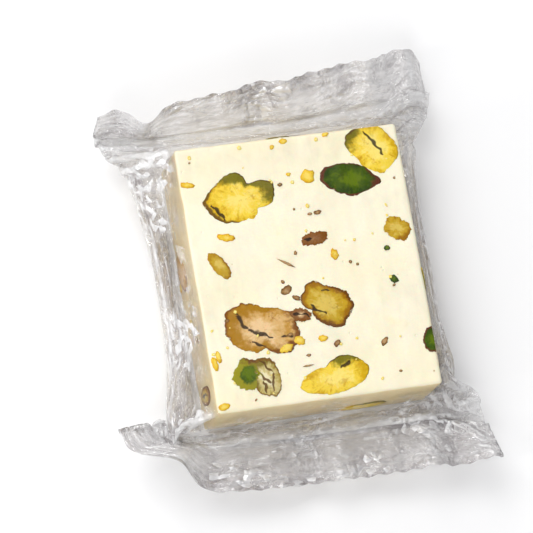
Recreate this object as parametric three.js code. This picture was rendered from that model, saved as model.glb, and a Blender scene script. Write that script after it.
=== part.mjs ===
// One piece of pistachio nougat sealed in clear film, in millimetres, +Z up.
// The piece lies on its broad face. X runs across it, Y along the film tube,
// and the origin is the middle of the underside.
// The clear sealed pack is one solid: the film's outer form, from end to end.
import * as THREE from 'three';
import { mergeVertices } from 'three/addons/utils/BufferGeometryUtils.js';

// Nougat block
const blockWidth = 40;
const blockLength = 47;
const blockHeight = 16;

// Film tube round the block
const flatWidth = 61; // the tube pressed flat, which is also the width of each crimped end
const filmStandOff = 0.4; // the film rides this far above the top of the nougat
const foldHeight = 7; // height of the fold that runs down each side of the tube
const sideBulge = { left: 4.7, right: 2.9 }; // how far the fold stands off the block's side
const earBulge = { left: 8.8, right: 5.2 }; // and at the block's ends, where the film opens to the ears
const bulgeRoundness = 0.45; // 0 is a straight-sided bulge, 1 a quarter ellipse
const slopeSag = 0.7; // the film between the block and a crimp is drawn in this much

// Crimped ends
const crimpLength = 9.3;
const crimpThickness = 0.8;
const edgeTaper = 3; // a crimp thins out over the last third of its film beyond the block's width
const ribPitch = 1.5; // the heated jaws press ribs across the film
const ribHeight = 0.16;
const toothDepth = 0.6; // the knife cuts a zigzag, one tooth to every two columns
const ruffleHeight = 0.25;
const ruffleTilt = 4; // degrees
const ruffleLengths = [13.7, 8.3]; // from one ruffle to the next, for a long and a short ruffle

// Mesh spacing
const sideColumns = 7; // from the block's edge to the fold
const faceColumns = 28; // across the block
const bodyRows = 8;
const slopeRows = 5;
const crimpRows = 11;

// How each crimped end lies, at a few places across it. across is the share of the
// half width, x and reach say where the crimp starts (reach is past the block's end),
// height is above the table, heading turns the crimp towards +X and pitch lifts it.
const farEnd = [
  { across: -1.0, x: -32.3, reach: 6.0, height: 6.0, heading: 8, pitch: 80 },
  { across: -0.84, x: -27.2, reach: 5.0, height: 6.0, heading: 4, pitch: 66 },
  { across: -0.72, x: -23.4, reach: 4.2, height: 6.2, heading: 2, pitch: 80 },
  { across: -0.45, x: -14.8, reach: 3.7, height: 7.4, heading: 0, pitch: 52 },
  { across: 0.1, x: 2.4, reach: 3.9, height: 8.0, heading: 3, pitch: 38 },
  { across: 0.6, x: 17.6, reach: 5.0, height: 7.8, heading: 4, pitch: 26 },
  { across: 0.9, x: 26.2, reach: 6.6, height: 7.2, heading: 4, pitch: 4 },
  { across: 1.0, x: 29.3, reach: 5.6, height: 6.0, heading: 14, pitch: -38 },
];
const nearEnd = [
  { across: -1.0, x: -29.4, reach: -1.6, height: 5.0, heading: -88, pitch: 36 },
  { across: -0.84, x: -27.0, reach: 0.9, height: 5.2, heading: -70, pitch: 26 },
  { across: -0.72, x: -23.8, reach: 2.5, height: 5.6, heading: -42, pitch: 56 },
  { across: -0.56, x: -18.6, reach: 3.6, height: 6.2, heading: -16, pitch: 2 },
  { across: 0.0, x: -0.8, reach: 3.8, height: 6.4, heading: 0, pitch: -8 },
  { across: 0.6, x: 17.6, reach: 3.9, height: 6.2, heading: 4, pitch: 4 },
  { across: 1.0, x: 28.4, reach: 5.0, height: 6.0, heading: 12, pitch: 22 },
];

const halfWidth = blockWidth / 2;
const halfLength = blockLength / 2;
const halfFlat = flatWidth / 2;
const filmTop = blockHeight + filmStandOff;
const radians = THREE.MathUtils.degToRad;
const mix = THREE.MathUtils.lerp;
const columns = 2 * sideColumns + faceColumns;

// Place of a column on the flat film, from -halfFlat to halfFlat.
function flatPlace(column) {
  if (column <= sideColumns) {
    return mix(-halfFlat, -halfWidth, column / sideColumns);
  }
  if (column >= sideColumns + faceColumns) {
    return mix(halfWidth, halfFlat, (column - sideColumns - faceColumns) / sideColumns);
  }
  return mix(-halfWidth, halfWidth, (column - sideColumns) / faceColumns);
}

// A point of the tube round the block: flat over the block, bulging past its sides.
function bodyPoint(flat, y, upper) {
  const beyond = Math.max(Math.abs(flat) - halfWidth, 0) / (halfFlat - halfWidth);
  const side = flat < 0 ? 'left' : 'right';
  const bulge = mix(sideBulge[side], earBulge[side], Math.abs(y / halfLength) ** 3);
  const swell = mix(beyond, Math.sin((beyond * Math.PI) / 2), bulgeRoundness);
  const x = THREE.MathUtils.clamp(flat, -halfWidth, halfWidth) + Math.sign(flat) * bulge * swell;
  const faceHeight = upper ? filmTop : 0;
  return new THREE.Vector3(x, y, mix(faceHeight, foldHeight, beyond));
}

// The lie of a crimped end at one place across it, eased between the named places.
// x isn't eased, so that the film isn't bunched up at a named place.
function lieOfEnd(places, flat) {
  const across = flat / halfFlat;
  let next = 1;
  while (next < places.length - 1 && across > places[next].across) {
    next += 1;
  }
  const before = places[next - 1];
  const after = places[next];
  const step = (across - before.across) / (after.across - before.across);
  const share = THREE.MathUtils.smoothstep(step, 0, 1);
  const waves = ruffleLengths.map((length) => Math.sin((flat * 2 * Math.PI) / length));
  const ruffle = waves[0] + waves[1];
  return {
    x: mix(before.x, after.x, step),
    reach: mix(before.reach, after.reach, share),
    height: mix(before.height, after.height, share) + ruffleHeight * ruffle,
    heading: radians(mix(before.heading, after.heading, share)),
    pitch: radians(mix(before.pitch, after.pitch, share) + ruffleTilt * ruffle),
  };
}

// A point of a crimped end. side is 1 at the far end and -1 at the near end,
// out is the distance from the start of the crimp, lift is off its middle plane.
function crimpPoint(places, side, flat, out, lift) {
  const lie = lieOfEnd(places, flat);
  const level = Math.cos(lie.pitch);
  const rise = Math.sin(lie.pitch);
  return new THREE.Vector3(
    lie.x + Math.sin(lie.heading) * (out * level - lift * rise),
    side * (halfLength + lie.reach + Math.cos(lie.heading) * (out * level - lift * rise)),
    lie.height + out * rise + lift * level,
  );
}

// Half the crimp's thickness, which runs out to nothing at the folds on both sides.
function halfThickness(flat) {
  const toFold = (halfFlat - Math.abs(flat)) / (halfFlat - halfWidth);
  return (crimpThickness / 2) * Math.min(1, toFold * edgeTaper);
}

// One lengthwise line of film over an end, from the block to the zigzag cut.
function endLine(places, side, column, upper) {
  const flat = flatPlace(column);
  const onBlock = bodyPoint(flat, side * halfLength, upper);
  const half = halfThickness(flat) * (upper ? 1 : -1);
  const atCrimp = crimpPoint(places, side, flat, 0, half);
  const points = [];
  for (let row = 1; row <= slopeRows; row += 1) {
    const share = row / slopeRows;
    const point = onBlock.clone().lerp(atCrimp, share);
    point.z -= Math.sign(half) * slopeSag * Math.sin(share * Math.PI);
    points.push(point);
  }
  const cut = crimpLength - (column % 2 === 0 ? toothDepth : 0);
  for (let row = 1; row <= crimpRows; row += 1) {
    const out = (cut * row) / crimpRows;
    const rib = half === 0 ? 0 : ribHeight * Math.sin((out * 2 * Math.PI) / ribPitch);
    points.push(crimpPoint(places, side, flat, out, half + rib));
  }
  return points;
}

// One whole lengthwise line, from the near cut to the far cut.
function filmLine(column, upper) {
  const near = endLine(nearEnd, -1, column, upper).reverse();
  const body = [];
  for (let row = 0; row <= bodyRows; row += 1) {
    body.push(bodyPoint(flatPlace(column), mix(-halfLength, halfLength, row / bodyRows), upper));
  }
  return [...near, ...body, ...endLine(farEnd, 1, column, upper)];
}

// The closed skin: two sheets that share the folds down the sides, and the two cut edges.
function packGeometry() {
  const ring = [];
  for (let column = 0; column <= columns; column += 1) {
    ring.push(filmLine(column, true));
  }
  for (let column = columns - 1; column > 0; column -= 1) {
    ring.push(filmLine(column, false));
  }
  const rows = ring[0].length;
  const positions = ring.flat().flatMap((point) => point.toArray());
  const index = [];
  const vertex = (line, row) => (line % ring.length) * rows + row;
  for (let line = 0; line < ring.length; line += 1) {
    for (let row = 0; row < rows - 1; row += 1) {
      const a = vertex(line, row);
      const b = vertex(line + 1, row);
      const c = vertex(line + 1, row + 1);
      const d = vertex(line, row + 1);
      index.push(a, b, c, a, c, d);
    }
  }
  for (const [row, turn] of [[0, 1], [rows - 1, -1]]) {
    for (let column = 0; column < columns; column += 1) {
      const top = [vertex(column, row), vertex(column + 1, row)];
      const low = [vertex(ring.length - column, row), vertex(ring.length - column - 1, row)];
      const faces = [[top[0], low[0], low[1]], [top[0], low[1], top[1]]];
      for (const face of faces.filter((corner) => new Set(corner).size === 3)) {
        index.push(...(turn > 0 ? face : face.reverse()));
      }
    }
  }
  const geometry = new THREE.BufferGeometry();
  geometry.setAttribute('position', new THREE.Float32BufferAttribute(positions, 3));
  geometry.setIndex(index);
  return mergeVertices(geometry, 1e-4);
}

const clearFilm = new THREE.MeshStandardMaterial({
  color: 0xe6e0d6,
  roughness: 0.2,
  metalness: 0,
});

const pack = new THREE.Mesh(packGeometry(), clearFilm);
pack.name = 'film_pack';

const group = new THREE.Group();
group.add(pack);

export default group;
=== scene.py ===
import math
import random

import bmesh
import bpy
import numpy as np
from mathutils import Matrix, Vector, noise


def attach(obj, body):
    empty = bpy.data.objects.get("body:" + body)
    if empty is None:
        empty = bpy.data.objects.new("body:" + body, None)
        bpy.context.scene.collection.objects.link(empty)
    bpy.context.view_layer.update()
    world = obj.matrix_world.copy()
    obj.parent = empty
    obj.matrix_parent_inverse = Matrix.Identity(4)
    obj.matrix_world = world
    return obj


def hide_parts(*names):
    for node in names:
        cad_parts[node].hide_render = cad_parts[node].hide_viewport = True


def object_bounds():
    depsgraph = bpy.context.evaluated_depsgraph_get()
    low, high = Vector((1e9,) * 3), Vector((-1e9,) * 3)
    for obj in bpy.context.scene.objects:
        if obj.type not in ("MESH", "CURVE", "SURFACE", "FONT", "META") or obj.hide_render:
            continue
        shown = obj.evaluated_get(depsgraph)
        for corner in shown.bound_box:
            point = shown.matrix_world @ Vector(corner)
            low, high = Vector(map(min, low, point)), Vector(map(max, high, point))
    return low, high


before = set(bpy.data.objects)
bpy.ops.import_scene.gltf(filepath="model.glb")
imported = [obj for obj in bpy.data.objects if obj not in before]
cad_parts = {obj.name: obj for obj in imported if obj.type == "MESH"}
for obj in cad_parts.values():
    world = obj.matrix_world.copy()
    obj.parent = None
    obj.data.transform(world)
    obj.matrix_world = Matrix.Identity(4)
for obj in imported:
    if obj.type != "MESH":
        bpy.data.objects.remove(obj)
cad_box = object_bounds()

# Nougat block.
# A slab of whipped white nougat, set in a frame and cut to a flat block with a long
# knife, so it has six flat faces with faint knife drag and softly broken edges.
MM = 0.001
NOUGAT_WIDTH = 40 * MM
NOUGAT_LENGTH = 47 * MM
NOUGAT_BASE = 0.3 * MM
NOUGAT_TOP = 16.0 * MM
NOUGAT_HALF = Vector((NOUGAT_WIDTH / 2, NOUGAT_LENGTH / 2, (NOUGAT_TOP - NOUGAT_BASE) / 2))
NOUGAT_MIDDLE = Vector((0, 0, (NOUGAT_TOP + NOUGAT_BASE) / 2))
NOUGAT_EDGE = 0.7 * MM
NOUGAT_UNEVENNESS = 0.09 * MM
NOUGAT_SPACING = 0.6 * MM


def spaced(half, edge, step):
    """Places from -half to half, closer together inside the rounded edges."""
    near_edge = [edge * share for share in (0, 0.15, 0.35, 0.6, 1.0)]
    count = max(2, round((2 * half - 2 * edge) / step))
    middle = [-half + edge + (2 * half - 2 * edge) * i / count for i in range(1, count)]
    return [-half + e for e in near_edge] + middle + [half - e for e in reversed(near_edge)]


def nougat_mesh():
    mesh = bmesh.new()
    for axis in range(3):
        across, along = [i for i in range(3) if i != axis]
        places_across = spaced(NOUGAT_HALF[across], NOUGAT_EDGE, NOUGAT_SPACING)
        places_along = spaced(NOUGAT_HALF[along], NOUGAT_EDGE, NOUGAT_SPACING)
        for side in (-1, 1):
            rows = []
            for a in places_across:
                row = []
                for b in places_along:
                    point = Vector((0, 0, 0))
                    point[axis] = side * NOUGAT_HALF[axis]
                    point[across] = a
                    point[along] = b
                    row.append(mesh.verts.new(point))
                rows.append(row)
            for i in range(len(rows) - 1):
                for j in range(len(rows[0]) - 1):
                    mesh.faces.new((rows[i][j], rows[i + 1][j], rows[i + 1][j + 1], rows[i][j + 1]))
    bmesh.ops.remove_doubles(mesh, verts=mesh.verts, dist=0.01 * MM)
    for vertex in mesh.verts:
        point = vertex.co
        inner = Vector(max(-h + NOUGAT_EDGE, min(h - NOUGAT_EDGE, c)) for c, h in zip(point, NOUGAT_HALF))
        outward = (point - inner).normalized()
        bumps = noise.noise(point * 110) + 0.5 * noise.noise(point * 340 + Vector((7, 3, 5)))
        broken = NOUGAT_EDGE * (1 + 0.25 * noise.noise(point * 260 + Vector((2, 9, 4))))
        moved = inner + outward * min(NOUGAT_EDGE, broken) + outward * NOUGAT_UNEVENNESS * (bumps - 0.6)
        vertex.co = moved + NOUGAT_MIDDLE
    bmesh.ops.recalc_face_normals(mesh, faces=mesh.faces)
    return mesh


def finished(mesh, name, material):
    """Turns a bmesh into a smooth piece with its material and body."""
    data = bpy.data.meshes.new(name)
    mesh.to_mesh(data)
    mesh.free()
    for face in data.polygons:
        face.use_smooth = True
    data.materials.append(material)
    piece = bpy.data.objects.new(name, data)
    bpy.context.scene.collection.objects.link(piece)
    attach(piece, "root")
    return piece


def srgb(red, green, blue):
    """A colour picked as 0 to 255 on screen, as the linear colour that a shader takes."""
    def linear(value):
        share = value / 255
        return share / 12.92 if share <= 0.04045 else ((share + 0.055) / 1.055) ** 2.4
    return (linear(red), linear(green), linear(blue), 1.0)


class Nodes:
    """Lays nodes in a tree and links them by short calls."""

    def __init__(self, tree):
        self.tree = tree

    def add(self, kind, **settings):
        node = self.tree.nodes.new(kind)
        for name, value in settings.items():
            setattr(node, name, value)
        return node

    def feed(self, value, socket):
        if isinstance(value, bpy.types.NodeSocket):
            self.tree.links.new(value, socket)
        else:
            socket.default_value = value

    def math(self, operation, first, second=0.0, clamp=False):
        node = self.add("ShaderNodeMath", operation=operation, use_clamp=clamp)
        self.feed(first, node.inputs[0])
        self.feed(second, node.inputs[1])
        return node.outputs[0]

    def blend(self, share, first, second):
        node = self.add("ShaderNodeMix", data_type="RGBA")
        self.feed(share, node.inputs[0])
        self.feed(first, node.inputs[6])
        self.feed(second, node.inputs[7])
        return node.outputs[2]

    def ramp(self, value, low, high, out_low=0.0, out_high=1.0):
        node = self.add("ShaderNodeMapRange", interpolation_type="SMOOTHSTEP")
        self.feed(value, node.inputs[0])
        for socket, number in zip(node.inputs[1:5], (low, high, out_low, out_high)):
            self.feed(number, socket)
        return node.outputs[0]

    def noise(self, place, scale, detail=4.0, roughness=0.55, distortion=0.0, dimensions="3D"):
        node = self.add("ShaderNodeTexNoise", noise_dimensions=dimensions)
        self.feed(place, node.inputs["Vector"])
        node.inputs["Scale"].default_value = scale
        node.inputs["Detail"].default_value = detail
        node.inputs["Roughness"].default_value = roughness
        node.inputs["Distortion"].default_value = distortion
        return node.outputs["Fac"]

    def cells(self, place, scale, feature="F1"):
        node = self.add("ShaderNodeTexVoronoi", feature=feature)
        self.feed(place, node.inputs["Vector"])
        node.inputs["Scale"].default_value = scale
        return node.outputs["Distance"]

    def stretched(self, place, scale):
        node = self.add("ShaderNodeMapping")
        self.feed(place, node.inputs["Vector"])
        node.inputs["Scale"].default_value = scale
        return node.outputs["Vector"]


def new_material(name):
    """A material with its Principled shader, and the piece's own place in metres."""
    material = bpy.data.materials.new(name)
    material.use_nodes = True
    nodes = Nodes(material.node_tree)
    shader = material.node_tree.nodes["Principled BSDF"]
    place = nodes.add("ShaderNodeTexCoord").outputs["Object"]
    return material, nodes, shader, place


def bump(nodes, shader, height, distance, strength=1.0):
    node = nodes.add("ShaderNodeBump")
    node.inputs["Strength"].default_value = strength
    node.inputs["Distance"].default_value = distance
    nodes.feed(height, node.inputs["Height"])
    nodes.feed(node.outputs["Normal"], shader.inputs["Normal"])


def nougat_material():
    material, nodes, shader, place = new_material("nougat")
    cream = nodes.blend(
        nodes.ramp(nodes.noise(place, 70, 3), 0.35, 0.7),
        srgb(249, 241, 215),
        srgb(246, 237, 204),
    )
    buttery = nodes.ramp(nodes.noise(place, 130, 3, 0.6, 0.4), 0.6, 0.82)
    tinted = nodes.blend(nodes.math("MULTIPLY", buttery, 0.35), cream, srgb(249, 236, 165))
    greyed = nodes.ramp(nodes.noise(place, 105, 3, 0.6, 0.5), 0.55, 0.75)
    tinted = nodes.blend(nodes.math("MULTIPLY", greyed, 0.35), tinted, srgb(232, 224, 202))
    # Painted shade: the cut sides are tinted a darker khaki than the broad faces.
    facing = nodes.add("ShaderNodeSeparateXYZ")
    nodes.feed(nodes.add("ShaderNodeNewGeometry").outputs["Normal"], facing.inputs[0])
    painted_side_shade = nodes.ramp(nodes.math("ABSOLUTE", facing.outputs[2]), 0.75, 0.2)
    tinted = nodes.blend(nodes.math("MULTIPLY", painted_side_shade, 0.8), tinted, srgb(228, 203, 144))
    dust = nodes.ramp(nodes.cells(place, 420), 0.09, 0.05)
    sparse = nodes.ramp(nodes.noise(place, 240, 2), 0.55, 0.62)
    speckled = nodes.blend(nodes.math("MULTIPLY", dust, sparse), tinted, srgb(190, 160, 110))
    nodes.feed(speckled, shader.inputs["Base Color"])
    nodes.feed(nodes.ramp(nodes.noise(place, 300, 4), 0.3, 0.7, 0.42, 0.6), shader.inputs["Roughness"])
    shader.inputs["Subsurface Weight"].default_value = 0.18
    shader.inputs["Subsurface Scale"].default_value = 0.0015
    pits = nodes.ramp(nodes.cells(place, 520), 0.02, 0.16)
    open_pits = nodes.ramp(nodes.noise(place, 170, 2), 0.5, 0.62)
    pits = nodes.math("MULTIPLY", nodes.math("SUBTRACT", pits, 1.0), open_pits)
    drag = nodes.noise(nodes.stretched(place, (0.16, 1.0, 0.5)), 1400, 3)
    waves = nodes.noise(place, 210, 3, 0.5)
    grain = nodes.math("ADD", nodes.math("MULTIPLY", pits, 0.12), nodes.math("MULTIPLY", drag, 0.05))
    grain = nodes.math("ADD", grain, nodes.math("MULTIPLY", waves, 0.32))
    bump(nodes, shader, grain, MM, 0.8)
    return material


nougat = finished(nougat_mesh(), "nougat_block", nougat_material())


# Pistachio kernels.
# Whole shelled pistachios stirred into the warm nougat and sliced through with it, so each
# shows as a flat cut face, yellow, green or toasted flesh with a green rim and brown skin.
SKIRT_DEPTH = 1.1 * MM
KERNEL_RISE = 0.1 * MM
KERNEL_GRAIN = 0.04 * MM
KERNEL_SINK = 0.04 * MM
# Rings and spokes of a kernel's mesh, for a whole one and for a crumb.
FINE_MESH = (22, 110)
CRUMB_MESH = (4, 18)
SLIT_DEPTH = 0.08 * MM
FACES = {
    "top": (Vector((0, 0, NOUGAT_TOP)), Vector((1, 0, 0)), Vector((0, 1, 0))),
    "base": (Vector((0, 0, NOUGAT_BASE)), Vector((-1, 0, 0)), Vector((0, 1, 0))),
    "left": (Vector((-NOUGAT_WIDTH / 2, 0, NOUGAT_MIDDLE.z)), Vector((0, -1, 0)), Vector((0, 0, 1))),
    "right": (Vector((NOUGAT_WIDTH / 2, 0, NOUGAT_MIDDLE.z)), Vector((0, 1, 0)), Vector((0, 0, 1))),
    "front": (Vector((0, -NOUGAT_LENGTH / 2, NOUGAT_MIDDLE.z)), Vector((1, 0, 0)), Vector((0, 0, 1))),
    "back": (Vector((0, NOUGAT_LENGTH / 2, NOUGAT_MIDDLE.z)), Vector((-1, 0, 0)), Vector((0, 0, 1))),
}
KINDS = ("yellow_kernels", "green_kernels", "golden_kernels", "toasted_kernels", "pale_kernels",
         "nut_crumbs", "pale_crumbs", "skin_flecks")
kernel_meshes = {kind: bmesh.new() for kind in KINDS}


def window(angle, towards, spread):
    """1 where an angle points towards a direction, falling to 0 at spread degrees away."""
    apart = abs((angle - towards + 180) % 360 - 180)
    return max(0.0, 1 - apart / spread) ** 0.5


def outline_radius(angle, length, width, square, dents):
    """A superellipse with bumps (positive) and dents (negative), in millimetres."""
    c = abs(math.cos(math.radians(angle))) / (length / 2)
    s = abs(math.sin(math.radians(angle))) / (width / 2)
    radius = (c**square + s**square) ** (-1 / square)
    for towards, spread, height in dents:
        apart = ((angle - towards + 180) % 360 - 180) / spread
        radius += height * math.exp(-apart * apart)
    return radius


def nearness_to_slit(x, y, slit):
    """1 in the middle of a slit that wanders along a line, falling to 0 at its torn edge."""
    start, end, half_width = slit
    along = Vector(end) - Vector(start)
    wander = Vector((noise.noise(Vector((x, y, 1)) * 0.8), noise.noise(Vector((x, y, 5)) * 0.8))) * 0.6
    place = Vector((x, y)) + wander - Vector(start)
    share = place.dot(along) / along.length_squared
    if not 0 < share < 1:
        return 0.0
    width = half_width * math.sin(math.pi * share) ** 0.5 * (1 + 0.8 * noise.noise(Vector((x, y, 9)) * 1.6))
    return max(0.0, 1 - (place - along * share).length / max(width, 0.02))


def kernel(kind, face, at, size, turn=0.0, square=2.2, dents=(), green=(), skin=(), slits=(),
           ragged=0.09, fine=True):
    """Sets one cut kernel in a face. Sizes are in millimetres and angles in degrees.
    green and skin list (towards, spread, depth) of the rim, slits (start, end, half width)."""
    mesh = kernel_meshes[kind]
    origin, right, up = FACES[face]
    outward = right.cross(up)
    marks = mesh.verts.layers.float_color.get("marks") or mesh.verts.layers.float_color.new("marks")
    rays = mesh.verts.layers.float_vector.get("rays") or mesh.verts.layers.float_vector.new("rays")
    rings, spokes = FINE_MESH if fine else CRUMB_MESH
    reach = [abs(right.dot(NOUGAT_HALF)), abs(up.dot(NOUGAT_HALF))]
    seed = Vector((at[0] * 0.37 + len(face), at[1] * 0.53, len(kind)))
    loops = []
    for ring in range(rings + 2):
        share = min(1.0, (ring + 0.6) / (rings + 0.6 - 1)) if ring < rings else 1.0
        loop = []
        for spoke in range(spokes):
            angle = 360 * spoke / spokes
            ray = Vector((math.cos(math.radians(angle)), math.sin(math.radians(angle)), 0))
            torn = ragged * (noise.noise(ray * 1.7 + seed) + 0.7 * noise.noise(ray * 5 + seed)
                             + 0.4 * noise.noise(ray * 13 + seed))
            radius = outline_radius(angle, size[0], size[1], square, dents) * (1 + torn)
            taper = 1.0 if ring < rings else (0.9 if ring == rings else 0.55)
            x = ray.x * radius * share * taper
            y = ray.y * radius * share * taper
            groove = max([nearness_to_slit(x, y, slit) for slit in slits] or [0.0])
            grain = noise.noise(Vector((x, y, 0)) * 0.9 + seed * 3)
            grain += 0.5 * noise.noise(Vector((x, y, 0)) * 2.6 + seed * 3)
            height = KERNEL_RISE * (1 - share**6) + KERNEL_GRAIN * grain * (1 - share**6)
            height -= SLIT_DEPTH * groove + KERNEL_SINK * share**6
            if ring == rings:
                height = -0.4 * SKIRT_DEPTH
            if ring == rings + 1:
                height = -SKIRT_DEPTH
            cos_turn = math.cos(math.radians(turn))
            sin_turn = math.sin(math.radians(turn))
            across = (at[0] + x * cos_turn - y * sin_turn) * MM
            along = (at[1] + x * sin_turn + y * cos_turn) * MM
            across = max(-reach[0] + 0.3 * MM, min(reach[0] - 0.3 * MM, across))
            along = max(-reach[1] + 0.3 * MM, min(reach[1] - 0.3 * MM, along))
            vertex = mesh.verts.new(origin + right * across + up * along + outward * height)
            rim = [sum(window(angle, t, s) * max(0.0, (share - 1 + d) / d) for t, s, d in group)
                   for group in (green, skin)]
            vertex[marks] = (min(1.0, rim[0]), min(1.0, rim[1]), groove, share)
            vertex[rays] = (ray.x + seed.x, ray.y + seed.y, share / 3)
            loop.append(vertex)
        loops.append(loop)
    for inner, outer in zip(loops, loops[1:]):
        for spoke in range(spokes):
            after = (spoke + 1) % spokes
            mesh.faces.new((inner[spoke], outer[spoke], outer[after], inner[after]))
    mesh.faces.new(loops[0])
    mesh.faces.new(list(reversed(loops[-1])))


ALL_ROUND = 900.0

# The cut kernels that show on the broad face, from the far right corner to the near left one.
kernel("yellow_kernels", "top", (15.0, 19.6), (9.6, 7.4), -52, 2.9,
       dents=[(40, 30, -0.2), (-100, 25, -0.3)], green=[(190, 55, 0.5)], skin=[(170, 75, 0.2)],
       slits=[((-2.9, 0.9), (2.6, 0.5), 0.42)], ragged=0.06)
kernel("green_kernels", "top", (9.9, 14.5), (10.8, 5.7), -12, 1.8,
       dents=[(-70, 30, 0.3)], skin=[(90, ALL_ROUND, 0.12), (0, 40, 0.4), (180, 40, 0.24), (-75, 50, 0.2)],
       ragged=0.07)
kernel("yellow_kernels", "top", (-10.0, 13.6), (12.2, 8.8), 0, 2.3,
       dents=[(51, 18, -1.9), (18, 16, 0.5), (88, 14, 0.3), (140, 22, -0.8), (-36, 15, -1.6),
              (-72, 20, -0.3)],
       green=[(98, 46, 0.66), (50, 34, 0.5), (8, 30, 0.6)],
       skin=[(225, 60, 0.22), (170, 50, 0.16), (50, 80, 0.14)],
       slits=[((-4.9, -0.8), (-2.8, -3.8), 0.5)])
kernel("golden_kernels", "top", (2.0, -6.9), (9.4, 6.7), -34, 2.8,
       dents=[(230, 22, -0.9), (60, 20, 0.3), (120, 16, -0.5)], green=[(40, ALL_ROUND, 0.36)],
       skin=[(90, ALL_ROUND, 0.14), (-60, 60, 0.4), (60, 50, 0.3)],
       slits=[((-2.6, -1.5), (0.8, -1.9), 0.34), ((-1.6, 1.6), (-0.4, 2.4), 0.3)], ragged=0.13)
kernel("toasted_kernels", "top", (-9.9, -9.9), (13.4, 8.9), -20, 2.4,
       dents=[(292, 20, -1.4), (100, 25, -0.4)], green=[(175, 95, 0.75), (-62, 40, 0.7), (100, 50, 0.3)],
       skin=[(170, 70, 0.16), (-40, 50, 0.4), (20, 50, 0.26)],
       slits=[((-5.2, 2.0), (-2.0, -1.0), 0.6), ((-2.8, -0.6), (2.0, -1.0), 0.5),
              ((3.4, -0.8), (5.6, 0.2), 0.5), ((-1.6, -2.4), (1.2, -3.0), 0.25)], ragged=0.13)
kernel("pale_kernels", "top", (-10.6, -18.2), (4.9, 7.0), 12, 2.2,
       green=[(150, 90, 0.7), (90, 60, 0.5)], skin=[(90, ALL_ROUND, 0.16), (80, 60, 0.4)],
       slits=[((0.2, 3.2), (1.3, 0.2), 0.3), ((1.2, 0.4), (0.2, -3.0), 0.3),
              ((-1.2, 2.4), (0.2, -1.6), 0.34), ((-0.6, -0.4), (-0.8, -2.8), 0.26)], ragged=0.12)
kernel("green_kernels", "top", (-13.7, -17.3), (4.9, 5.8), -20, 2.1,
       green=[(90, ALL_ROUND, 0.6), (200, 110, 0.6)], skin=[(80, 70, 0.6)], ragged=0.16)
kernel("yellow_kernels", "top", (1.1, -19.7), (12.8, 6.0), 7, 2.1,
       dents=[(158, 22, -0.9), (118, 26, -1.0), (46, 22, 0.5), (215, 22, -0.6)],
       green=[(52, 40, 0.75)], skin=[(80, 60, 0.16)], slits=[((1.6, 0.9), (3.6, 1.9), 0.5)], ragged=0.07)
kernel("green_kernels", "top", (19.6, -15.6), (4.8, 3.4), 78, 2.2, skin=[(90, ALL_ROUND, 0.3)])
kernel("golden_kernels", "top", (16.8, 4.7), (4.7, 3.9), -35, 2.4,
       dents=[(200, 30, 0.2)], green=[(-20, 60, 0.6)], ragged=0.16)
kernel("golden_kernels", "top", (-15.4, 2.2), (5.8, 2.5), -58, 2.0, green=[(60, 90, 0.5)], ragged=0.14)
kernel("toasted_kernels", "top", (2.0, 4.8), (5.2, 2.3), 8, 1.9, dents=[(190, 20, 0.2)],
       green=[(10, 50, 0.9)], skin=[(90, ALL_ROUND, 2.6)], slits=[((-1.8, 0.2), (-0.4, 0), 0.3)],
       ragged=0.25)
kernel("toasted_kernels", "top", (-2.8, -8.2), (3.7, 2.3), -10, 2.0, skin=[(90, ALL_ROUND, 1.7)],
       slits=[((-1.4, 0.1), (1.4, 0), 0.4)], ragged=0.25)

# Small pieces of kernel and skin on the same face: where, size, turn.
CRUMBS = [
    ((2.7, 15.9), (2.4, 2.6), 0), ((-13.4, 6.9), (3.0, 1.4), -12), ((-18.6, 17.0), (3.0, 1.0), -10),
    ((5.0, 1.5), (1.5, 2.0), 0), ((0.4, -12.8), (1.6, 1.2), 0), ((-19.0, -14.8), (1.0, 3.0), 4),
    ((-18.2, -13.6), (0.9, 2.4), 8), ((-18.7, -22.3), (2.4, 1.2), 10), ((-0.6, 22.6), (1.6, 1.0), 0),
    ((-2.7, 21.8), (1.0, 0.8), 30), ((7.1, 22.9), (1.4, 0.8), 20), ((-0.6, 16.6), (0.9, 0.7), 0),
    ((-6.3, -13.6), (2.6, 1.7), 20), ((-3.8, -12.6), (2.2, 1.6), -20),
]
for at, size, turn in CRUMBS:
    kernel("nut_crumbs", "top", at, size, turn, 1.9, ragged=0.3, fine=False)
FLECKS = [
    ((3.3, 9.3), (1.5, 0.8), 10), ((1.9, 9.2), (0.9, 0.5), 0), ((-3.4, 0.9), (3.7, 0.5), -33),
    ((8.7, -0.7), (0.6, 0.5), 0),
    ((-4.5, -3.6), (2.2, 1.6), 20), ((2.7, -14.0), (1.7, 0.9), 40), ((11.0, -14.8), (1.9, 1.0), 50),
    ((-2.4, 15.0), (0.9, 0.6), 0), ((12.9, -20.3), (0.7, 0.5), 0), ((-2.6, -15.4), (0.9, 0.5), 0),
    ((-3.0, -17.2), (2.6, 0.35), 4), ((-3.0, -5.2), (1.6, 0.9), -30), ((-5.2, -11.4), (1.4, 0.9), 0),
]
for at, size, turn in FLECKS:
    kernel("skin_flecks", "top", at, size, turn, 1.8, ragged=0.3, fine=False)
# Two green crumbs near the right edge, and tiny ones scattered all over.
kernel("green_kernels", "top", (14.4, 1.5), (1.1, 0.9), ragged=0.25, fine=False)
kernel("green_kernels", "top", (14.6, -4.1), (1.7, 1.2), -50, ragged=0.25, fine=False)
TINY_CRUMBS = 46
chance = random.Random(11)
for index in range(TINY_CRUMBS):
    at = (chance.uniform(-19, 19), chance.uniform(-22.5, 22.5))
    size = chance.uniform(0.3, 0.8)
    kernel("pale_crumbs" if index % 4 else "skin_flecks", "top", at, (size, size * chance.uniform(0.5, 1)),
           chance.uniform(0, 180), 2, ragged=0.3, fine=False)

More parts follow.
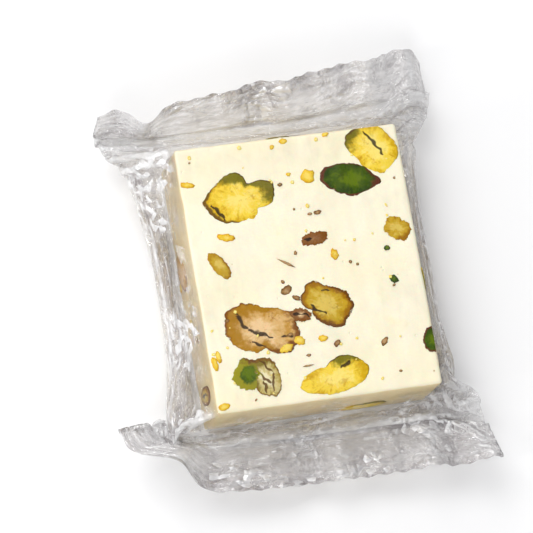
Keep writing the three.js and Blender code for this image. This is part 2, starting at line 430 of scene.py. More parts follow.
# Two that show on the left and near side.
kernel("golden_kernels", "left", (18.6, -0.6), (8.6, 3.4), 84, 2.2, green=[(0, ALL_ROUND, 0.6)],
       skin=[(90, ALL_ROUND, 0.4)], slits=[((-3.0, 0), (2.4, 0.3), 0.5)], ragged=0.14)
kernel("yellow_kernels", "front", (8.0, -4.4), (8.6, 4.6), 12, 2.2, green=[(60, 80, 0.5)])

# The other sides and the underside are cut through the same mix, so kernels lie there by a rule:
# a few whole ones spread along each face, with crumbs between them.
for face, half_across, half_up, count in (
    ("left", 22, 7, 1), ("right", 22, 7, 4), ("back", 18.5, 7, 3), ("base", 18, 21, 9),
):
    for index in range(count):
        step = 2 * half_across / count
        at = (-half_across + step * (index + 0.5) + chance.uniform(-0.2, 0.2) * step,
              chance.uniform(-0.75, 0.75) * half_up)
        kind = chance.choice(("yellow_kernels", "yellow_kernels", "green_kernels", "toasted_kernels"))
        length = chance.uniform(6.5, 11.5)
        kernel(kind, face, at, (length, length * chance.uniform(0.45, 0.65)),
               chance.uniform(-80, 80), chance.uniform(1.9, 2.6),
               dents=[(chance.uniform(0, 360), 25, chance.uniform(-0.9, 0.4))],
               green=[(chance.uniform(0, 360), 80, 0.5)], skin=[(chance.uniform(0, 360), 120, 0.2)])
    for index in range(count * 4):
        at = (chance.uniform(-1, 1) * half_across, chance.uniform(-1, 1) * half_up)
        size = chance.uniform(0.5, 2.2)
        kernel(chance.choice(("nut_crumbs", "pale_crumbs", "skin_flecks")), face, at,
               (size, size * chance.uniform(0.4, 0.9)), chance.uniform(0, 180), 1.9, ragged=0.3, fine=False)


def cut_nut_group():
    """The look of a cut kernel: mottled veined flesh, green rim, brown skin, slits darkened with painted
    shade, and an edge that the nougat smears over."""
    group = bpy.data.node_groups.new("cut_nut", "ShaderNodeTree")
    for name in ("Flesh", "Deep flesh", "Pale flesh", "Vein", "Rim", "Skin", "Slit"):
        group.interface.new_socket(name, in_out="INPUT", socket_type="NodeSocketColor")
    group.interface.new_socket("Color", in_out="OUTPUT", socket_type="NodeSocketColor")
    group.interface.new_socket("Height", in_out="OUTPUT", socket_type="NodeSocketFloat")
    nodes = Nodes(group)
    given = nodes.add("NodeGroupInput").outputs
    result = nodes.add("NodeGroupOutput").inputs
    place = nodes.add("ShaderNodeTexCoord").outputs["Object"]
    marks = nodes.add("ShaderNodeSeparateColor")
    attribute = nodes.add("ShaderNodeAttribute", attribute_name="marks")
    nodes.feed(attribute.outputs["Color"], marks.inputs[0])
    fibres = nodes.noise(place, 1500, 4, 0.65, 0.8)
    mottle = nodes.noise(place, 330, 4, 0.6, 0.7)
    rays = nodes.add("ShaderNodeAttribute", attribute_name="rays").outputs["Vector"]
    streaks = nodes.noise(rays, 5, 4, 0.6, 0.3)
    share = attribute.outputs["Alpha"]
    depth = share
    for layer, strength in ((mottle, 1.9), (fibres, 0.8), (streaks, 0.9)):
        depth = nodes.math("ADD", depth, nodes.math("MULTIPLY", nodes.math("SUBTRACT", layer, 0.5), strength))
    flesh = nodes.blend(nodes.ramp(depth, 0.2, 0.65), given["Pale flesh"], given["Flesh"])
    flesh = nodes.blend(nodes.ramp(depth, 0.65, 1.1), flesh, given["Deep flesh"])
    veined = nodes.math("MULTIPLY", nodes.ramp(streaks, 0.56, 0.7), nodes.ramp(share, 0.25, 0.9, 0.1, 0.55))
    flesh = nodes.blend(veined, flesh, given["Vein"])
    bruised = nodes.ramp(nodes.noise(place, 560, 4, 0.7, 0.6), 0.56, 0.68, 0.0, 0.55)
    flesh = nodes.blend(bruised, flesh, given["Vein"])
    torn = nodes.math("MULTIPLY", nodes.math("SUBTRACT", nodes.noise(place, 620, 4, 0.65), 0.5), 1.2)
    rim = nodes.ramp(nodes.math("ADD", marks.outputs[0], torn), 0.15, 0.6)
    skin = nodes.ramp(nodes.math("ADD", marks.outputs[1], torn), 0.3, 0.75)
    # Painted shade: the slits are coloured dark for the shade inside them.
    slit = nodes.ramp(marks.outputs[2], 0.15, 0.6)
    coloured = nodes.blend(nodes.math("MULTIPLY", rim, 0.9), flesh, given["Rim"])
    coloured = nodes.blend(nodes.math("MULTIPLY", skin, 0.85), coloured, given["Skin"])
    coloured = nodes.blend(nodes.math("MULTIPLY", slit, 0.92), coloured, given["Slit"])
    smeared = nodes.ramp(nodes.math("ADD", share, nodes.math("MULTIPLY", torn, 0.45)), 1.0, 1.07)
    nodes.feed(nodes.blend(nodes.math("MULTIPLY", smeared, 0.8), coloured, srgb(246, 237, 205)),
               result["Color"])
    nodes.feed(nodes.math("ADD", fibres, nodes.math("MULTIPLY", mottle, 0.8)), result["Height"])
    return group


CUT_NUT = cut_nut_group()


def kernel_material(name, colours, roughness):
    material, nodes, shader, place = new_material(name)
    look = nodes.add("ShaderNodeGroup", node_tree=CUT_NUT)
    # Painted shade: near black brown in the slits.
    look.inputs["Slit"].default_value = srgb(40, 26, 16)
    for socket, colour in colours.items():
        look.inputs[socket].default_value = srgb(*colour)
    nodes.feed(look.outputs["Color"], shader.inputs["Base Color"])
    nodes.feed(nodes.ramp(nodes.noise(place, 800, 3), 0.3, 0.7, roughness, roughness + 0.2),
               shader.inputs["Roughness"])
    shader.inputs["Specular IOR Level"].default_value = 0.12
    shader.inputs["Subsurface Weight"].default_value = 0.12
    shader.inputs["Subsurface Scale"].default_value = 0.0008
    bump(nodes, shader, look.outputs["Height"], 0.1 * MM, 0.7)
    return material


# Colours of each kind of piece, from pale to deep flesh and outwards to its skin, and how
# rough its cut face is.
KERNEL_LOOKS = {
    "yellow_kernels": ({
        "Flesh": (240, 208, 66), "Deep flesh": (210, 168, 10), "Pale flesh": (246, 223, 118),
        "Vein": (188, 142, 12), "Rim": (98, 96, 0), "Skin": (78, 44, 14)}, 0.4),
    "green_kernels": ({
        "Flesh": (62, 86, 0), "Deep flesh": (40, 64, 0), "Pale flesh": (92, 114, 0),
        "Vein": (46, 52, 4), "Rim": (156, 148, 24), "Skin": (100, 40, 26)}, 0.42),
    "golden_kernels": ({
        "Flesh": (194, 158, 34), "Deep flesh": (174, 132, 2), "Pale flesh": (216, 188, 88),
        "Vein": (134, 88, 0), "Rim": (152, 102, 0), "Skin": (98, 56, 6)}, 0.45),
    "toasted_kernels": ({
        "Flesh": (216, 176, 112), "Deep flesh": (190, 142, 58), "Pale flesh": (232, 198, 148),
        "Vein": (140, 88, 40), "Rim": (164, 116, 0), "Skin": (112, 56, 0)}, 0.5),
    "pale_kernels": ({
        "Flesh": (206, 190, 126), "Deep flesh": (170, 148, 62), "Pale flesh": (234, 224, 182),
        # Their slits take a lighter brown painted shade.
        "Vein": (116, 94, 24), "Rim": (118, 102, 4), "Skin": (120, 80, 20), "Slit": (92, 60, 10)}, 0.45),
    "nut_crumbs": ({
        "Flesh": (234, 194, 52), "Deep flesh": (220, 166, 20), "Pale flesh": (242, 214, 100),
        "Vein": (190, 130, 20), "Rim": (150, 140, 40), "Skin": (150, 96, 30)}, 0.5),
    "pale_crumbs": ({
        "Flesh": (244, 220, 112), "Deep flesh": (238, 204, 80), "Pale flesh": (248, 234, 160),
        "Vein": (226, 186, 90), "Rim": (210, 200, 90), "Skin": (200, 160, 80)}, 0.5),
    "skin_flecks": ({
        "Flesh": (150, 112, 64), "Deep flesh": (104, 72, 36), "Pale flesh": (182, 148, 104),
        "Vein": (70, 44, 28), "Rim": (90, 90, 40), "Skin": (70, 40, 24)}, 0.6),
}
for kind, (colours, roughness) in KERNEL_LOOKS.items():
    finished(kernel_meshes[kind], kind, kernel_material(kind, colours, roughness))


# Clear film.
# One tube of thin clear film round the block, sealed and crimped by ribbed jaws past each end
# and cut with a zigzag knife. The tube is wider than the block needs, so its two folds stand
# off the sides, flare into ears at the corners, and the slack film buckles into creases.
FLAT_WIDTH = 61 * MM
SLOPE_FILM = 11.0 * MM
FILM_TOP = 16.27 * MM
FILM_BASE = 0.08 * MM
FILM_GAP = 0.17 * MM
FOLD_HEIGHT = 7 * MM
# How far the fold stands off the left and right side of the block, at its middle and its ends.
SIDE_BULGES = (4.8 * MM, 3.0 * MM)
EAR_BULGES = (8.8 * MM, 5.2 * MM)
BULGE_ROUNDNESS = 0.45
SLOPE_SAG = 0.7 * MM
CRIMP_LENGTH = 9.2 * MM
CRIMP_GAP = 0.08 * MM
RIB_PITCH = 1.4 * MM
TOOTH_PITCH = 2.9 * MM
TOOTH_DEPTH = 0.5 * MM
RUFFLE_HEIGHT = 0.25 * MM
RUFFLE_TILT = 4
RUFFLE_LENGTHS = (13.7 * MM, 8.3 * MM)
# Counts of coarse steps across one sheet and along each part of the film.
SHEET_STEPS = 38
BODY_STEPS = 30
SLOPE_STEPS = 6
CRIMP_STEPS = 7
# How each crimped end lies, at a few places across it: the share of the half width, x and the
# reach past the block's end where the crimp starts, its height, its heading and its pitch.
FAR_END = [
    (-1.0, -32.3, 6.0, 6.0, 8, 80), (-0.84, -27.2, 5.0, 6.0, 4, 66), (-0.72, -23.4, 4.2, 6.2, 2, 80),
    (-0.45, -14.8, 3.7, 7.4, 0, 52), (0.1, 2.4, 3.9, 8.0, 3, 38), (0.6, 17.6, 5.0, 7.8, 4, 26),
    (0.9, 26.2, 6.6, 7.2, 4, 4), (1.0, 29.3, 5.6, 6.0, 14, -38),
]
NEAR_END = [
    (-1.0, -29.4, -1.6, 5.0, -88, 36), (-0.84, -27.0, 0.9, 5.2, -70, 26), (-0.72, -23.8, 2.5, 5.6, -42, 56),
    (-0.56, -18.6, 3.6, 6.2, -16, 2), (0.0, -0.8, 3.8, 6.4, 0, -8), (0.6, 17.6, 3.9, 6.2, 4, 4),
    (1.0, 28.4, 5.0, 6.0, 12, 22),
]
HALF_FLAT = FLAT_WIDTH / 2
HALF_X = NOUGAT_WIDTH / 2
HALF_Y = NOUGAT_LENGTH / 2
# How hard the film keeps its length, and how hard it is drawn back to the smooth form.
STRETCH = 0.3
BODY_HOLD = 0.005
CRIMP_HOLD = 0.02
CRIMP_FOLDS = 0.8
LOW_CORNER = np.array(cad_box[0]) + 0.03 * MM
HIGH_CORNER = np.array(cad_box[1]) - 0.03 * MM
# Rounds of folding, each on a finer grid: fineness, size and count of folds, rounds of
# relaxing, stiffness against bending.
FOLDING = [(1, 2.6, 60, 300, 0.03), (2, 1.2, 260, 120, 0.03), (4, 0.6, 500, 60, 0.04)]


def mix(first, second, share):
    return first + (second - first) * share


def body_points(flat, y, upper):
    """The tube round the block: flat over it and bulging past its sides."""
    beyond = np.maximum(np.abs(flat) - HALF_X, 0) / (HALF_FLAT - HALF_X)
    to_end = np.abs(y / HALF_Y) ** 3
    left, right = (mix(side, ear, to_end) for side, ear in zip(SIDE_BULGES, EAR_BULGES))
    bulge = np.where(flat < 0, left, right)
    swell = mix(beyond, np.sin(beyond * np.pi / 2), BULGE_ROUNDNESS)
    x = np.clip(flat, -HALF_X, HALF_X) + np.sign(flat) * bulge * swell
    z = mix(FILM_TOP if upper else FILM_BASE, FOLD_HEIGHT, beyond)
    return np.stack([x, y + 0 * flat, z], axis=-1)


def lie_of_end(places, flat):
    """x, reach, height, heading and pitch of a crimped end at places across it."""
    named = np.array(places, dtype=float)
    across = flat / HALF_FLAT
    after = np.clip(np.searchsorted(named[:, 0], across), 1, len(named) - 1)
    step = (across - named[after - 1, 0]) / (named[after, 0] - named[after - 1, 0])
    step = np.clip(step, 0, 1)
    eased = step * step * (3 - 2 * step)
    ruffle = sum(np.sin(flat * 2 * np.pi / length) for length in RUFFLE_LENGTHS)
    x = mix(named[after - 1, 1], named[after, 1], step) * MM
    reach = mix(named[after - 1, 2], named[after, 2], eased) * MM
    height = mix(named[after - 1, 3], named[after, 3], eased) * MM + RUFFLE_HEIGHT * ruffle
    heading = np.radians(mix(named[after - 1, 4], named[after, 4], eased))
    pitch = np.radians(mix(named[after - 1, 5], named[after, 5], eased) + RUFFLE_TILT * ruffle)
    return x, reach, height, heading, pitch


def crimp_points(places, side, flat, out, lift):
    x, reach, height, heading, pitch = lie_of_end(places, flat)
    level = out * np.cos(pitch) - lift * np.sin(pitch)
    return np.stack([
        x + np.sin(heading) * level,
        side * (HALF_Y + reach + np.cos(heading) * level),
        height + out * np.sin(pitch) + lift * np.cos(pitch),
    ], axis=-1)


def cut_length(flat):
    """Length of the crimp out to the zigzag cut."""
    tooth = np.abs(((flat / TOOTH_PITCH) % 1) * 2 - 1)
    return CRIMP_LENGTH - TOOTH_DEPTH * tooth


def sheet_gap(flat):
    """Distance apart of the two sheets in a crimp, nothing at the folds."""
    return CRIMP_GAP * np.minimum(1, (HALF_FLAT - np.abs(flat)) / MM)


def end_rows(places, side, flat, upper, fineness):
    """Rows of film over one end, from the block to the zigzag cut."""
    on_block = body_points(flat, side * HALF_Y, upper)
    half = sheet_gap(flat) / 2 * (1 if upper else -1)
    at_crimp = crimp_points(places, side, flat, 0.0, half)
    rows = []
    for row in range(1, SLOPE_STEPS * fineness + 1):
        share = row / (SLOPE_STEPS * fineness)
        points = mix(on_block, at_crimp, share)
        points[:, 2] -= (1 if upper else -1) * SLOPE_SAG * np.sin(share * np.pi)
        rows.append(points)
    for row in range(1, CRIMP_STEPS * fineness + 1):
        out = cut_length(flat) * row / (CRIMP_STEPS * fineness)
        rows.append(crimp_points(places, side, flat, out, half))
    return rows


def sheet_places(fineness):
    """Place across the flat tube of every column of points, upper sheet first."""
    upper = np.linspace(HALF_FLAT, -HALF_FLAT, SHEET_STEPS * fineness, endpoint=False)
    return upper, -upper


def film_form(fineness):
    """The smooth form of the film, as [row, column, xyz], from the near cut to the far one."""
    sheets = []
    for upper, flat in zip((True, False), sheet_places(fineness)):
        ys = np.linspace(-HALF_Y, HALF_Y, BODY_STEPS * fineness + 1)
        body = [body_points(flat, y, upper) for y in ys]
        near = end_rows(NEAR_END, -1, flat, upper, fineness)[::-1]
        far = end_rows(FAR_END, 1, flat, upper, fineness)
        sheets.append(np.stack(near + body + far))
    return np.concatenate(sheets, axis=1)


def laid_flat(fineness):
    """Where each point lies on the film laid flat: round the tube, and along it."""
    flat = np.concatenate(sheet_places(fineness))
    around = np.arange(len(flat)) * 2 * FLAT_WIDTH / len(flat)
    crimp_rows = CRIMP_STEPS * fineness
    slope_rows = SLOPE_STEPS * fineness
    crimp = np.outer(np.arange(crimp_rows, 0, -1), cut_length(flat)) / crimp_rows
    slope = np.arange(slope_rows, 0, -1)[:, None] * SLOPE_FILM / slope_rows
    body = np.linspace(-HALF_Y, HALF_Y, BODY_STEPS * fineness + 1)[:, None]
    ends = np.concatenate([crimp + SLOPE_FILM, slope + 0 * flat]) + HALF_Y
    along = np.concatenate([-ends, body + 0 * flat, ends[::-1]])
    return np.broadcast_to(around, along.shape), along


def share_in_crimp(along):
    """0 on the open film and 1 in the crimped ends."""
    return np.clip((np.abs(along) - HALF_Y - SLOPE_FILM) / (2 * MM), 0, 1)


def grid_normals(grid):
    along = np.gradient(grid, axis=0)
    across = np.roll(grid, -1, axis=1) - np.roll(grid, 1, axis=1)
    normals = np.cross(along, across)
    return normals / np.maximum(np.linalg.norm(normals, axis=-1, keepdims=True), 1e-12)


def creases(around, along, folds):
    """Heights of sharp ridges and valleys. Each fold is its middle round and along the tube,
    its direction in degrees, half length, half width and height, all in millimetres."""
    total = np.zeros(around.shape)
    girth = 2 * FLAT_WIDTH / MM
    for middle_around, middle_along, direction, half_length, half_width, height in folds:
        da = (around / MM - middle_around + girth / 2) % girth - girth / 2
        dl = along / MM - middle_along
        c, s = math.cos(math.radians(direction)), math.sin(math.radians(direction))
        lengthwise = (da * c + dl * s) / half_length
        crosswise = np.abs(da * s - dl * c) / half_width
        total += height * MM * np.exp(-crosswise) * np.exp(-(lengthwise**4))
    return total


def film_folds(rng, size, count):
    """Folds of one size: over the ends they run every way, down the sides along the tube."""
    folds = []
    half_y = HALF_Y / MM
    girth = round(2 * FLAT_WIDTH / MM)
    for _ in range(count):
        side = rng.choice((-1, 1))
        height = rng.choice((-1, 1)) * rng.uniform(0.12, 0.36) * size
        folds.append((rng.uniform(0, girth), side * (half_y + rng.uniform(0, 20)), rng.gauss(0, 40),
                      rng.uniform(2, 6) * size, rng.uniform(0.3, 0.7) * size, height))
    for _ in range(count // 3):
        fold_line = rng.choice((0, girth // 2))
        height = rng.choice((-1, 1)) * rng.uniform(0.06, 0.22) * size
        folds.append((fold_line + rng.uniform(-10, 10), rng.uniform(-24, 24), 90 + rng.gauss(0, 9),
                      rng.uniform(4, 12) * size, rng.uniform(0.4, 0.8) * size, height))
    return folds


def draw_to_rest(points, rows, columns, rest, weight, only_push=False):
    """Moves each point and the one so many rows and columns on to their distance on flat film."""
    near = points[: len(points) - rows]
    apart = np.roll(points, -columns, axis=1)[rows:] - near
    length = np.maximum(np.linalg.norm(apart, axis=-1, keepdims=True), 1e-9)
    strain = 1 - rest[..., None] / length
    if only_push:
        strain = np.minimum(strain, 0)
    move = weight * strain * apart
    near += move
    points[rows:] -= np.roll(move, columns, axis=1)


def opposite(grid):
    """For each point of the tube, the value at the point that faces it in the other sheet."""
    return np.roll(grid[:, ::-1], 1, axis=1)


def keep_clear(points, normals, gap, sealed):
    """Keeps the film off the nougat and the floor, inside the pack, its sheets apart where it is
    open and together where it is sealed."""
    apart = np.sum((points - opposite(points)) * normals, axis=-1)
    missing = np.where(sealed, gap - apart, np.maximum(gap - apart, 0))
    points += normals * (missing / 2)[..., None]
    x, y, z = np.abs(points[..., 0]), np.abs(points[..., 1]), points[..., 2]
    depths = np.stack([HALF_X + FILM_GAP - x, HALF_Y + FILM_GAP - y,
                       NOUGAT_TOP + FILM_GAP - z, z - NOUGAT_BASE + FILM_GAP])
    inside = depths.min(axis=0) > 0
    nearest = depths.argmin(axis=0)
    for axis in (0, 1):
        push = np.where(inside & (nearest == axis), depths[axis], 0)
        points[..., axis] += np.sign(points[..., axis]) * push
    points[..., 2] += np.where(inside & (nearest == 2), depths[2], 0)
    points[..., 2] -= np.where(inside & (nearest == 3), depths[3], 0)
    np.clip(points, LOW_CORNER, HIGH_CORNER, out=points)


def relaxed(points, fineness, rounds, bend):
    """Lets the film buckle until it is nearly unstretched everywhere."""
    form = film_form(fineness)
    normals = grid_normals(form)
    around, along = laid_flat(fineness)
    step = around[0, 1]
    flat = np.concatenate(sheet_places(fineness))
    gap = np.broadcast_to(sheet_gap(flat), along.shape)
    in_crimp = share_in_crimp(along)
    hold = mix(BODY_HOLD, CRIMP_HOLD, in_crimp)[..., None]
    links = [(0, 1, STRETCH, False), (1, 0, STRETCH, False), (1, 1, STRETCH / 2, False),
             (1, -1, STRETCH / 2, False), (0, 2, bend, True), (2, 0, bend, True)]
    rests = []
    for rows, columns, _, _ in links:
        far = np.roll(along, -columns, axis=1)[rows:]
        rests.append(np.hypot(far - along[: len(along) - rows], columns * step))
    for _ in range(rounds):
        points += hold * (form - points)
        for (rows, columns, weight, only_push), rest in zip(links, rests):
            draw_to_rest(points, rows, columns, rest, weight, only_push)
        keep_clear(points, normals, gap, in_crimp > 0.5)
    return points


def doubled(points):
    """The same film with a new smooth row and column of points between each two."""
    def between(a, b, c, d):
        return (9 * (b + c) - (a + d)) / 16
    padded = np.concatenate([2 * points[:1] - points[1:2], points, 2 * points[-1:] - points[-2:-1]])
    rows = np.repeat(points, 2, axis=0)[:-1]
    rows[1::2] = between(padded[:-3], padded[1:-2], padded[2:-1], padded[3:])
    both = np.repeat(rows, 2, axis=1)
    both[:, 1::2] = between(*(np.roll(rows, shift, axis=1) for shift in (1, 0, -1, -2)))
    return both


def film_points():
    """Relaxes the film in three rounds, each on a grid twice as fine and with finer folds."""
    rng = random.Random(5)
    points = film_form(1)
    for fineness, size, count, rounds, bend in FOLDING:
        if fineness > 1:
            points = doubled(points)
        around, along = laid_flat(fineness)
        height = creases(around, along, film_folds(rng, size, count))
        in_both = (height - opposite(height)) * CRIMP_FOLDS
        height = mix(height, in_both, share_in_crimp(along))
        points = points + grid_normals(points) * height[..., None]
        points = relaxed(points, fineness, rounds, bend)
    return points


def fold_sharpness(grid):
    """How far each point stands out from its neighbours: ridges are above 0, valleys below."""
    padded = np.concatenate([grid[:1], grid, grid[-1:]])
    around = (np.roll(grid, 1, axis=1) + np.roll(grid, -1, axis=1) + padded[:-2] + padded[2:]) / 4
    return np.sum((grid - around) * grid_normals(grid), axis=-1)


def film_mesh():
    grid = film_points()
    around, along = laid_flat(FOLDING[-1][0])
    x, y = np.abs(grid[..., 0]), np.abs(grid[..., 1])
    loose = np.clip(np.maximum(x - HALF_X + 0.4 * MM, y - HALF_Y + 0.2 * MM) / (1.5 * MM), 0, 1)
    # Ridges and valleys of the folds are marked here for the film's painted highlights and painted shade.
    bend = np.clip(fold_sharpness(grid) / (0.03 * MM), -1, 1) * loose
    marks = np.stack([loose, np.maximum(bend, 0), np.maximum(-bend, 0), 1 + 0 * loose], axis=-1)
    mesh = bmesh.new()
    film_marks = mesh.verts.layers.float_color.new("film_marks")
    flat_film = mesh.loops.layers.uv.new("flat_film")
    vertices = []
    for row, row_marks in zip(grid, marks):
        line = []
        for point, mark in zip(row, row_marks):
            vertex = mesh.verts.new(point)
            vertex[film_marks] = mark
            line.append(vertex)
        vertices.append(line)
    columns = len(vertices[0])
    for row in range(len(vertices) - 1):
        for column in range(columns):
            after = (column + 1) % columns
            corners = [(row, column), (row, after), (row + 1, after), (row + 1, column)]
            face = mesh.faces.new([vertices[r][c] for r, c in corners])
            for loop, (r, c) in zip(face.loops, corners):
                wrap = 2 * FLAT_WIDTH if after == 0 and c == 0 else 0
                loop[flat_film].uv = (around[r, c] + wrap, along[r, c])
    return mesh


def facets(nodes, place, scale):
    """Flat facets of crumpled film: distance from each one's middle, and its own random tones."""
    cells = nodes.add("ShaderNodeTexVoronoi", voronoi_dimensions="2D")
    nodes.feed(place, cells.inputs["Vector"])
    cells.inputs["Scale"].default_value = scale
    tones = nodes.add("ShaderNodeSeparateColor")
    nodes.feed(cells.outputs["Color"], tones.inputs[0])
    return cells.outputs["Distance"], tones.outputs


def film_streaks(nodes, flat, on_end):
    """Fine streaks: along the tube on its sides, and across it on its ends."""
    down_side = nodes.noise(nodes.stretched(flat, (1.0, 0.2, 1.0)), 520, 4, 0.62, 0.5, "2D")
    across_end = nodes.noise(nodes.stretched(flat, (0.28, 1.0, 1.0)), 520, 4, 0.62, 0.8, "2D")
    streaks = nodes.add("ShaderNodeMix")
    nodes.feed(on_end, streaks.inputs[0])
    nodes.feed(down_side, streaks.inputs[2])
    nodes.feed(across_end, streaks.inputs[3])
    return streaks.outputs[0]


def bent_place(nodes, flat):
    """The place on flat film, shifted about by a few millimetres so that facets look bent."""
    warp = nodes.add("ShaderNodeTexNoise", noise_dimensions="2D")
    nodes.feed(flat, warp.inputs["Vector"])
    warp.inputs["Scale"].default_value = 160
    bent = nodes.add("ShaderNodeVectorMath", operation="MULTIPLY_ADD")
    nodes.feed(warp.outputs["Color"], bent.inputs[0])
    bent.inputs[1].default_value = (4 * MM, 4 * MM, 0)
    nodes.feed(flat, bent.inputs[2])
    return bent.outputs[0]


def film_material():
    material, nodes, shader, place = new_material("clear_film")
    marks = nodes.add("ShaderNodeSeparateColor")
    nodes.feed(nodes.add("ShaderNodeAttribute", attribute_name="film_marks").outputs["Color"],
               marks.inputs[0])
    loose, ridge_highlight, valley_shade = marks.outputs
    flat = nodes.add("ShaderNodeUVMap", uv_map="flat_film").outputs["UV"]
    along = nodes.add("ShaderNodeSeparateXYZ")
    nodes.feed(flat, along.inputs[0])
    from_middle = nodes.math("ABSOLUTE", along.outputs[1])

    # The parts of the tube: ends, crimps with their ribs, and the line just inside the cut.
    crimp_start = HALF_Y + SLOPE_FILM
    cut = crimp_start + CRIMP_LENGTH
    on_end = nodes.ramp(from_middle, HALF_Y - 2 * MM, HALF_Y + 2 * MM)
    crimped = nodes.ramp(from_middle, crimp_start - 0.2 * MM, crimp_start + 0.3 * MM)
    on_slope = nodes.math("SUBTRACT", on_end, crimped, clamp=True)
    ribs = nodes.math("SINE", nodes.math("MULTIPLY", from_middle, 2 * math.pi / RIB_PITCH))
    ribs = nodes.math("MULTIPLY", ribs, crimped)
    cut_line = nodes.ramp(from_middle, cut - 1.2 * MM, cut - 0.8 * MM)

    # Relief: streaks, flat facets, and finer crinkles where the film is crumpled.
    bent = bent_place(nodes, flat)
    streaks = film_streaks(nodes, flat, on_end)
    facet, facet_tones = facets(nodes, bent, 360)
    crinkle, crinkle_tones = facets(nodes, bent, 950)
    crumpling = nodes.noise(flat, 75, 2, dimensions="2D")
    crinkled = nodes.ramp(crumpling, 0.46, 0.58)
    height = nodes.math("ADD", nodes.math("MULTIPLY", facet, 0.7), nodes.math("MULTIPLY", streaks, 1.1))
    crinkle = nodes.math("MULTIPLY", nodes.math("MULTIPLY", crinkle, crinkled), 0.45)
    height = nodes.math("ADD", height, crinkle)
    height = nodes.math("MULTIPLY", height, nodes.math("MAXIMUM", loose, 0.06))
    height = nodes.math("ADD", height, nodes.math("MULTIPLY", ribs, 0.04))
    bump(nodes, shader, height, MM)

    # Painted highlights and painted shade: white glints, sparks and ridges, and grey streaks, valleys and
    # facets.
    glints = nodes.math("MULTIPLY", nodes.ramp(streaks, 0.57, 0.63),
                        nodes.ramp(facet_tones[1], 0.5, 0.56))
    painted_sparks = nodes.math("MULTIPLY", nodes.ramp(crinkle_tones[1], 0.74, 0.8), crinkled)
    glints = nodes.math("MULTIPLY", nodes.math("MAXIMUM", glints, painted_sparks), loose)
    white = nodes.math("MAXIMUM", nodes.math("MULTIPLY", glints, 0.8), ridge_highlight, clamp=True)
    painted_crinkle_shade = nodes.math("MULTIPLY", nodes.ramp(crinkle_tones[1], 0.26, 0.2), crinkled)
    dark = nodes.math("MAXIMUM", nodes.ramp(streaks, 0.42, 0.34), nodes.math("MULTIPLY", valley_shade, 0.8))
    dark = nodes.math("MAXIMUM", dark, painted_crinkle_shade)

    # How much the film hides: more where it is seen edge on, is creased or crumpled, and where highlights and
    # shade are painted on it.
    turned = nodes.add("ShaderNodeLayerWeight")
    turned.inputs["Blend"].default_value = 0.87
    nodes.feed(shader.inputs["Normal"].links[0].from_socket, turned.inputs["Normal"])
    veil = nodes.ramp(streaks, 0.34, 0.6, 0.22, 0.03)
    for share, strength in ((turned.outputs["Facing"], 0.13), (white, 0.6), (valley_shade, 0.25), (ribs, 0.04),
                            (facet_tones[0], 0.12), (painted_crinkle_shade, 0.1), (cut_line, 0.12)):
        veil = nodes.math("ADD", veil, nodes.math("MULTIPLY", share, strength))
    veil = nodes.math("MULTIPLY", veil, nodes.ramp(crumpling, 0.3, 0.66, 0.55, 1.25))
    # On the slopes the veil is thinned, painted light that keeps them lighter over the shadow beneath.
    veil = nodes.math("MULTIPLY", veil, nodes.ramp(on_slope, 0.0, 1.0, 1.0, 0.62))
    cover = nodes.math("MULTIPLY", nodes.math("MAXIMUM", loose, 0.14), veil, clamp=True)
    nodes.feed(cover, shader.inputs["Alpha"])
    # Painted shade: the tint goes darker grey in dark streaks, valleys and crinkles.
    tint = nodes.blend(dark, srgb(190, 183, 183), srgb(150, 143, 144))
    # Painted highlight: the tint goes white on glints and ridges.
    tint = nodes.blend(nodes.math("MULTIPLY", white, 0.9), tint, srgb(252, 252, 252))
    nodes.feed(tint, shader.inputs["Base Color"])
    nodes.feed(nodes.ramp(streaks, 0.3, 0.7, 0.04, 0.12), shader.inputs["Roughness"])
    shader.inputs["IOR"].default_value = 2.0
    shader.inputs["Specular IOR Level"].default_value = 1.0
    return material


film = finished(film_mesh(), "film_wrap", film_material())
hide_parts("film_pack")
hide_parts("film_pack")


# Floor.
# A plain white sheet of board.
def board_material():
    material, nodes, shader, place = new_material("white_board")
    tone = nodes.blend(nodes.noise(place, 14, 3), (0.93, 0.93, 0.93, 1), (0.95, 0.95, 0.95, 1))
    nodes.feed(tone, shader.inputs["Base Color"])
    shader.inputs["Roughness"].default_value = 0.9
    return material


board = bmesh.new()
bmesh.ops.create_grid(board, x_segments=4, y_segments=4, size=1.5)
board_data = bpy.data.meshes.new("board")
board.to_mesh(board_data)
board.free()
board_data.materials.append(board_material())
floor = bpy.data.objects.new("board", board_data)
bpy.context.scene.collection.objects.link(floor)


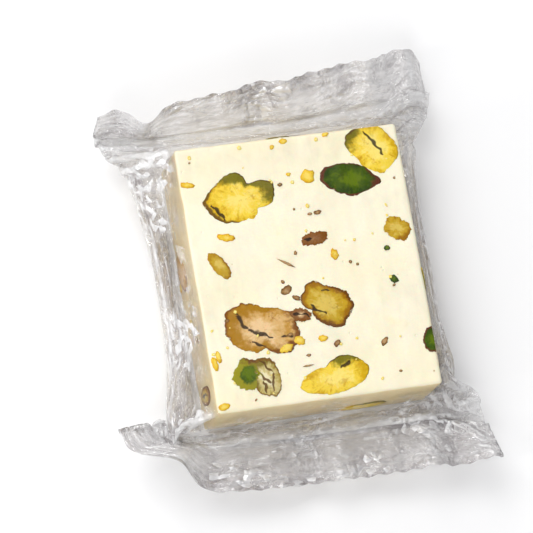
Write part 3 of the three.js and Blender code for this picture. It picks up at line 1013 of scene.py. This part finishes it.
# Light.
# A large soft lamp overhead from behind on the left, a strip lamp at the left and one at the
# far side for the film's glints, and a soft lamp that fills in the near side.
def soft_lamp(name, place, size, power):
    lamp = bpy.data.lights.new(name, "AREA")
    lamp.shape = "RECTANGLE"
    lamp.size, lamp.size_y = size
    lamp.energy = power
    light = bpy.data.objects.new(name, lamp)
    light.location = place
    light.rotation_euler = (-Vector(place)).to_track_quat("-Z", "Y").to_euler()
    bpy.context.scene.collection.objects.link(light)


soft_lamp("key", (-0.22, 0.36, 0.6), (0.5, 0.4), 2.65)
soft_lamp("strip_left", (-0.6, -0.1, 0.35), (0.03, 0.5), 0.9)
soft_lamp("strip_far", (-0.1, 0.65, 0.3), (0.5, 0.03), 0.9)
soft_lamp("fill", (-0.2, -0.45, 0.5), (0.4, 0.4), 1.6)
world = bpy.data.worlds.new("studio")
world.use_nodes = True
world.node_tree.nodes["Background"].inputs["Color"].default_value = (0.8, 0.8, 0.82, 1)
world.node_tree.nodes["Background"].inputs["Strength"].default_value = 0.5
bpy.context.scene.world = world
bpy.context.scene.view_settings.view_transform = "Standard"
bpy.context.scene.cycles.transparent_max_bounces = 32


# Camera.
# It looks steeply down from the near left and is rolled a little, as in the photo.
TILT_LEFT = math.tan(math.radians(12.0))
TILT_NEAR = math.tan(math.radians(11.5))
ROLL = math.radians(9.9)
CAMERA_DISTANCE = 0.62
FRAME_WIDTH = 92 * MM
FRAME_OFFSET = (-7.2 * MM, 0.0)
SENSOR = 36.0

towards_camera = Vector((-TILT_LEFT, -TILT_NEAR, 1)).normalized()
far_up = (Vector((0, 1, 0)) - towards_camera * towards_camera.y).normalized()
up = Matrix.Rotation(-ROLL, 3, towards_camera) @ far_up
right = up.cross(towards_camera)
aim = Vector((0, 0, NOUGAT_TOP)) + right * FRAME_OFFSET[0] + up * FRAME_OFFSET[1]
camera_data = bpy.data.cameras.new("camera")
camera_data.sensor_width = SENSOR
camera_data.lens = SENSOR * CAMERA_DISTANCE / FRAME_WIDTH
camera_data.clip_start = 0.01
camera = bpy.data.objects.new("camera", camera_data)
camera.matrix_world = Matrix.Translation(aim + towards_camera * CAMERA_DISTANCE) @ Matrix(
    (right, up, towards_camera)).transposed().to_4x4()
bpy.context.scene.collection.objects.link(camera)
bpy.context.scene.camera = camera
